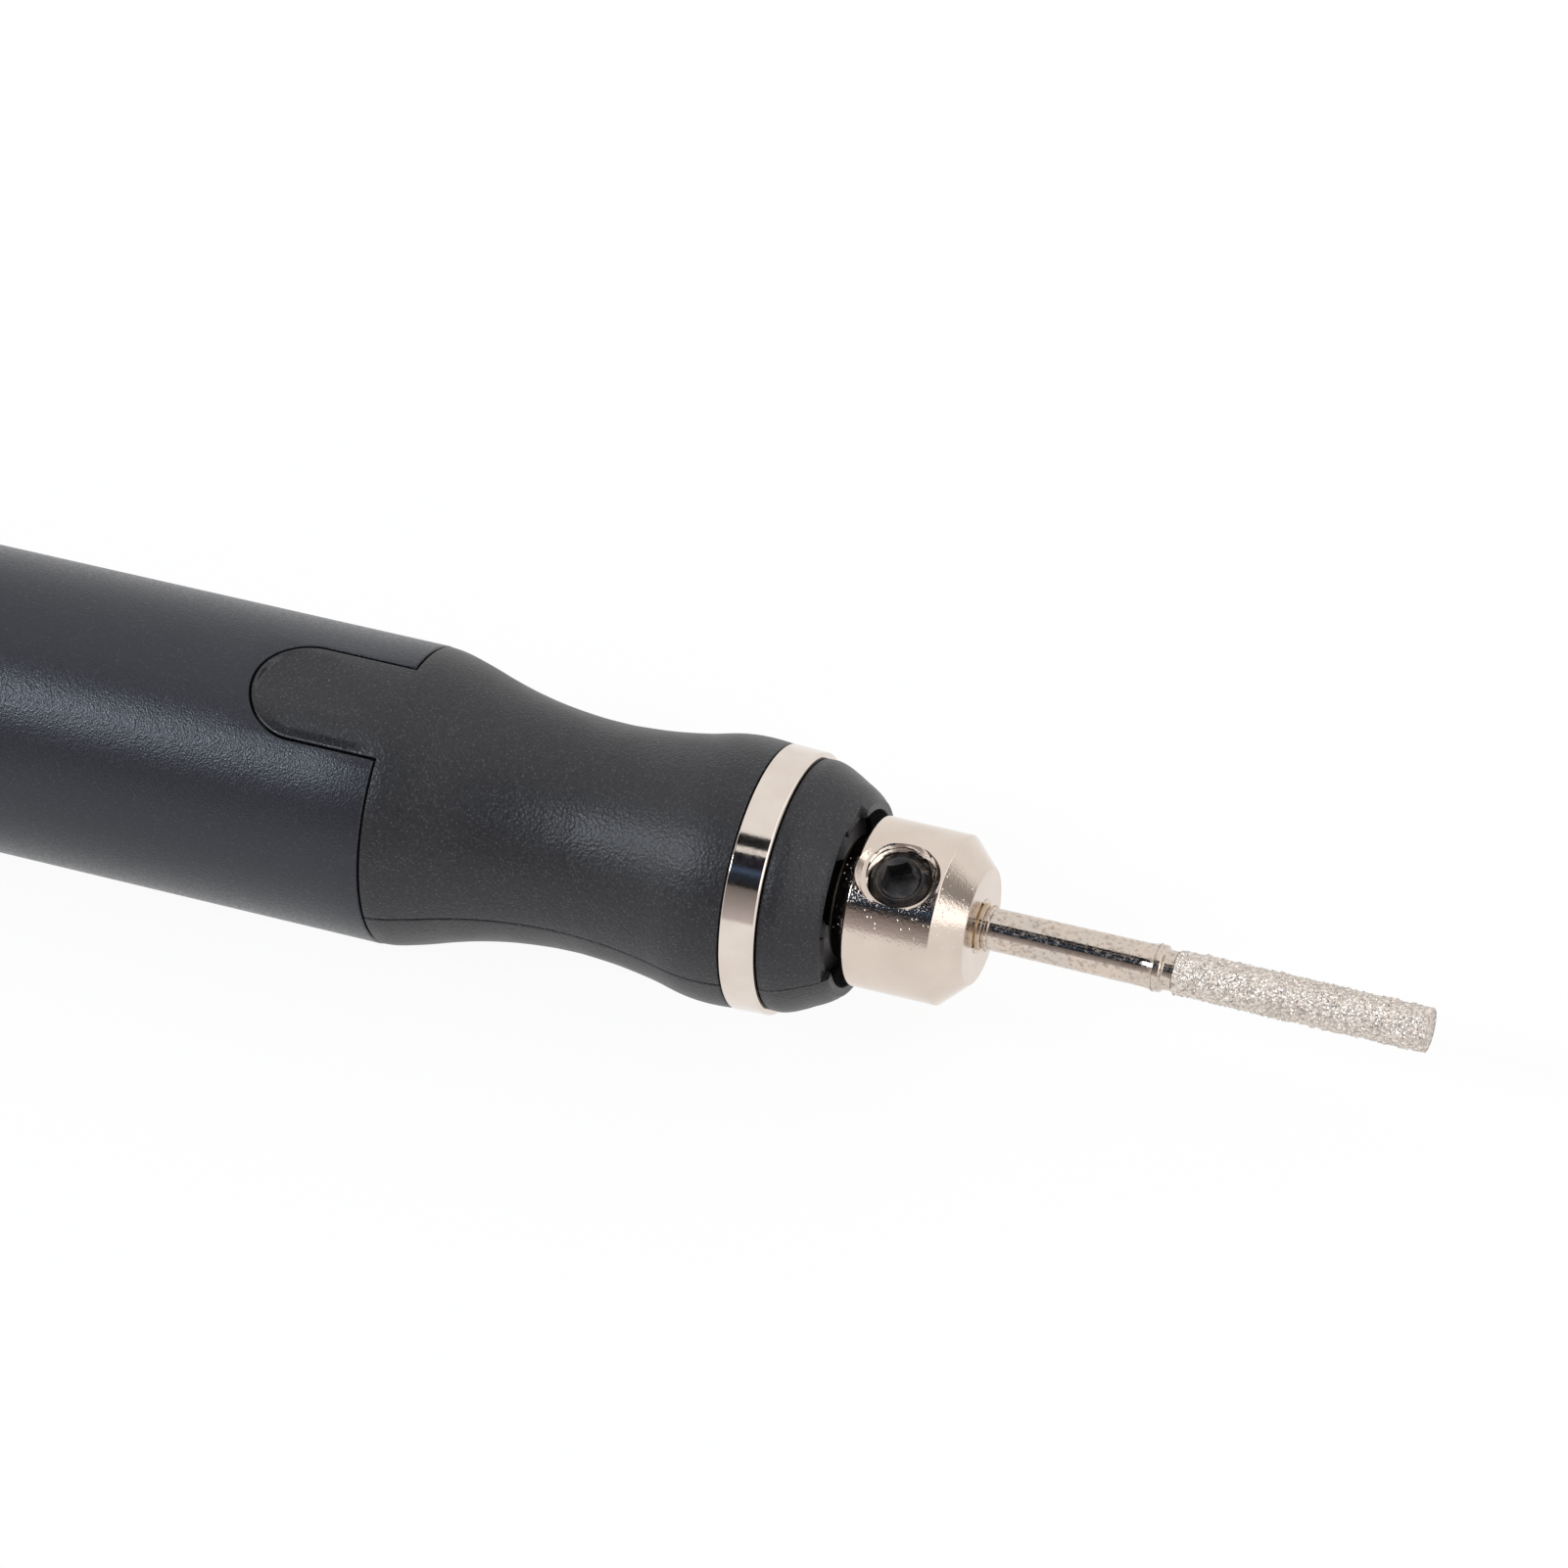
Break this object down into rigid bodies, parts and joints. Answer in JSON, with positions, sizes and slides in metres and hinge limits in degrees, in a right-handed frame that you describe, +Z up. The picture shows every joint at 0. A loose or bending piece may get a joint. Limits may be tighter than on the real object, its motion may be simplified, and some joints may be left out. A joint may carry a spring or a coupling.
{
  "type": "electric engraving pen",
  "caption": "Cordless engraving pen with a waisted grip, a chrome trim ring and a set-screw chuck that holds a diamond bit.",
  "frame": {"origin": "centre of the bounding box's base, on the surface that the barrel lies on, under the pen's axis", "axes": "+X along the pen's axis towards the bit, +Z up through the upper grip tongue and the power button"},
  "size_m": [0.1576, 0.0166, 0.017],
  "materials": {
    "black_paint": "satin black paint with a fine metallic sparkle",
    "black_plastic": "matte black, fine spark-eroded grain",
    "chrome": "bright chrome plate",
    "nickel": "nickel plate over turned brass",
    "black_oxide": "black oxide steel",
    "bit_steel": "nickel-plated steel with patchy tarnish",
    "diamond_grit": "diamond grit bonded in nickel",
    "zinc_steel": "zinc-plated steel",
    "bronze": "sintered bronze",
    "ferrite": "dark sintered ferrite",
    "lamination": "stacked electrical steel",
    "copper": "bright copper",
    "ivory_plastic": "natural moulded plastic",
    "circuit_green": "green solder mask",
    "chip_black": "black moulded epoxy",
    "cell_wrap": "blue shrink wrap over a steel can",
    "foam": "soft black foam",
    "clear_plastic": "clear moulded plastic",
    "red_wire": "red silicone insulation",
    "black_wire": "black silicone insulation"
  },
  "bodies": {
    "housing": {"barrel_tube": "black_paint", "grip_shell_upper": "black_plastic", "grip_shell_lower": "black_plastic", "nose_ring": "chrome", "tail_cap": "black_plastic", "motor_can": "zinc_steel", "motor_front_bush": "bronze", "motor_rear_bush": "bronze", "motor_magnet_upper": "ferrite", "motor_magnet_lower": "ferrite", "motor_end_cap": "ivory_plastic", "brush_arm_left": "copper", "brush_arm_right": "copper", "inner_carrier": "ivory_plastic", "main_board": "circuit_green", "board_screw_front": "zinc_steel", "board_screw_rear": "zinc_steel", "driver_chip": "chip_black", "switch_base": "chip_black", "status_led": "clear_plastic", "light_pipe": "clear_plastic", "lithium_cell": "cell_wrap", "cell_tab_front": "zinc_steel", "cell_tab_rear": "zinc_steel", "cell_foam_pad": "foam", "charge_board": "circuit_green", "charger_chip": "chip_black", "usb_receptacle": "zinc_steel", "usb_contact_tongue": "chip_black", "motor_lead_red": "red_wire", "motor_lead_black": "black_wire", "supply_lead_red": "red_wire", "supply_lead_black": "black_wire"},
    "spindle": {"drive_coupler": "nickel", "motor_shaft": "zinc_steel", "armature_core": "lamination", "armature_winding_1": "copper", "armature_winding_2": "copper", "armature_winding_3": "copper", "commutator": "copper"},
    "set_screw": {"chuck_screw": "black_oxide"},
    "bit": {"bit_shank": "bit_steel", "bit_diamond_head": "diamond_grit"},
    "button": {"power_button": "black_plastic", "switch_plunger": "ivory_plastic"}
  },
  "joints": [
    {"name": "spindle_spin", "type": "hinge", "parent": "housing", "child": "spindle", "pos_m": [0.04782, 0, 0.00825], "axis": [1, 0, 0], "continuous": true},
    {"name": "chuck_screw_travel", "type": "slide", "parent": "spindle", "child": "set_screw", "axis": [0, -0.1668, 0.986], "range_m": [0, 0.0014]},
    {"name": "bit_slide", "type": "slide", "parent": "spindle", "child": "bit", "axis": [1, 0, 0], "range_m": [0, 0.006]},
    {"name": "power_button_press", "type": "slide", "parent": "housing", "child": "button", "axis": [0, 0, -1], "range_m": [0, 0.0004], "stiffness_N_per_m": 600}
  ]
}
